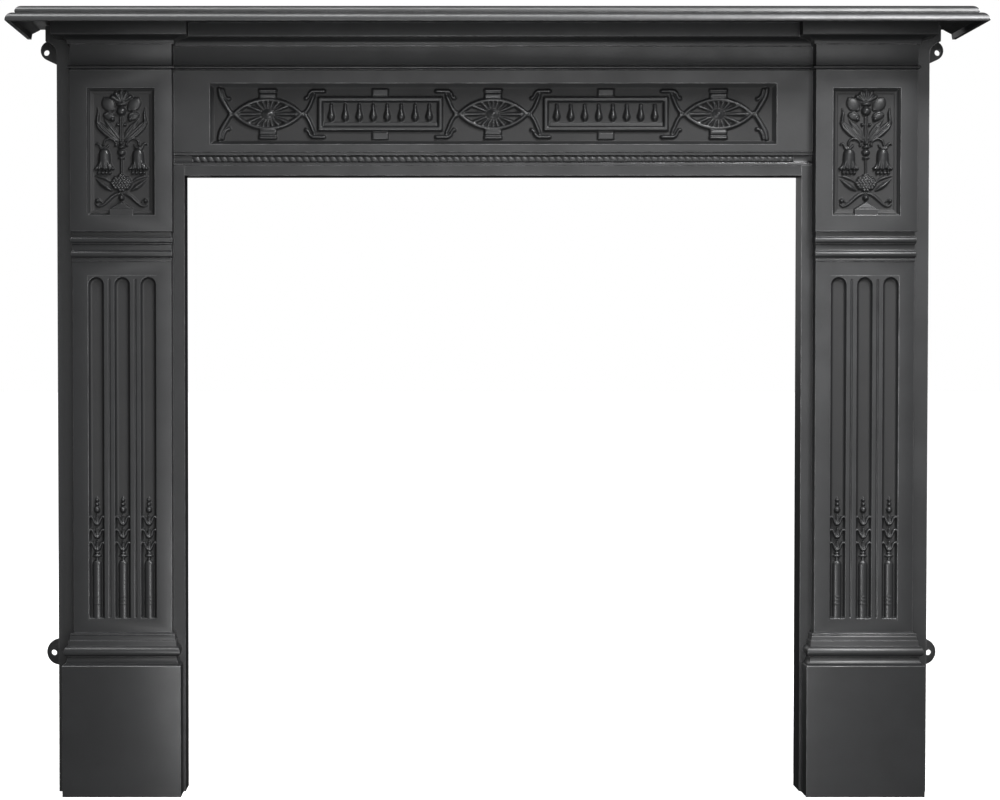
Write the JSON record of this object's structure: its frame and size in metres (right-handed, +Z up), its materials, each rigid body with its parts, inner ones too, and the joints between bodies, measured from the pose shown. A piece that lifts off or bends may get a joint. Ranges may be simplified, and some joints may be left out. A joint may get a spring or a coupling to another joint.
{
  "type": "fireplace surround",
  "caption": "Cast-iron fireplace surround with fluted jambs, carved capitals, a carved frieze with rope moulding and a moulded mantel shelf.",
  "frame": {"origin": "under the middle of the whole surround, on the floor", "axes": "+X to the viewer's right along the shelf, +Y into the wall, +Z up; the front faces -Y and the wall plane is y = 0.095"},
  "size_m": [1.434, 0.19, 1.181],
  "materials": {
    "shelf_iron": "black-leaded cast iron, burnished on the nose",
    "frieze_iron": "black-leaded cast iron",
    "left_jamb_iron": "black-leaded cast iron",
    "right_jamb_iron": "black-leaded cast iron"
  },
  "bodies": {
    "root": {"shelf": "shelf_iron", "frieze": "frieze_iron", "left_jamb": "left_jamb_iron", "right_jamb": "right_jamb_iron"}
  },
  "joints": []
}
